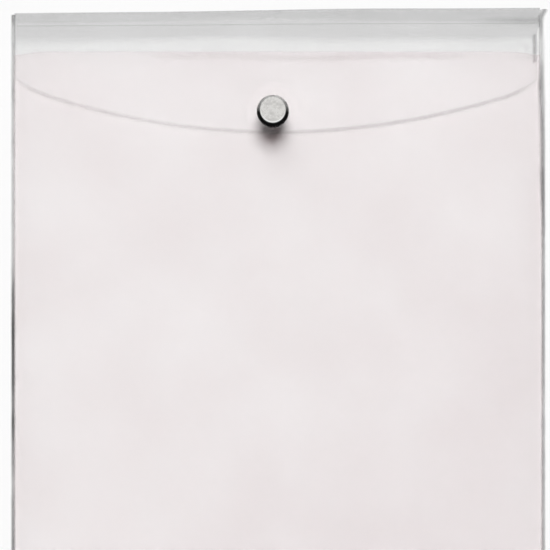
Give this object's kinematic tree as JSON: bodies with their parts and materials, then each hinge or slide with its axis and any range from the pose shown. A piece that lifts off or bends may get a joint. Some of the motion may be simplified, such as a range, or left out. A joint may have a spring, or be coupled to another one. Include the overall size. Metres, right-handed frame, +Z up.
{
  "type": "document wallet",
  "caption": "Clear film wallet for documents: a pocket welded at both sides and folded at the bottom, with a curved flap that folds over and closes on a metal press stud.",
  "frame": {"origin": "on the surface that the wallet lies on, under the middle of its outline", "axes": "+X across the wallet to its right side, +Y towards the fold of the flap, +Z up out of the front"},
  "size_m": [0.24, 0.325, 0.0135],
  "materials": {
    "clear_film": "glossy clear polypropylene film with a faint warm tint",
    "weld_bead": "melted film edge, glossy and a little cloudy",
    "nickel_plate": "nickel-plated pressed brass, satin",
    "spring_wire": "bare bronze spring wire"
  },
  "bodies": {
    "pocket": {"back_panel": "clear_film", "front_panel": "clear_film", "bottom_fold": "clear_film", "left_weld": "weld_bead", "right_weld": "weld_bead", "snap_stud": "nickel_plate", "snap_stud_post": "nickel_plate"},
    "spine": {"spine_strip": "clear_film"},
    "flap": {"flap_panel": "clear_film", "snap_cap": "nickel_plate", "snap_cap_post": "nickel_plate", "snap_socket": "nickel_plate", "snap_spring": "spring_wire"}
  },
  "joints": [
    {"name": "back_crease", "type": "hinge", "parent": "pocket", "child": "spine", "pos_m": [0, 0.16235, 0.00015], "axis": [-1, 0, 0], "range_deg": [0, 142.2]},
    {"name": "flap_crease", "type": "hinge", "parent": "spine", "child": "flap", "pos_m": [0, 0.14735, 0.00995], "axis": [-1, 0, 0], "range_deg": [0, 33.1]}
  ]
}
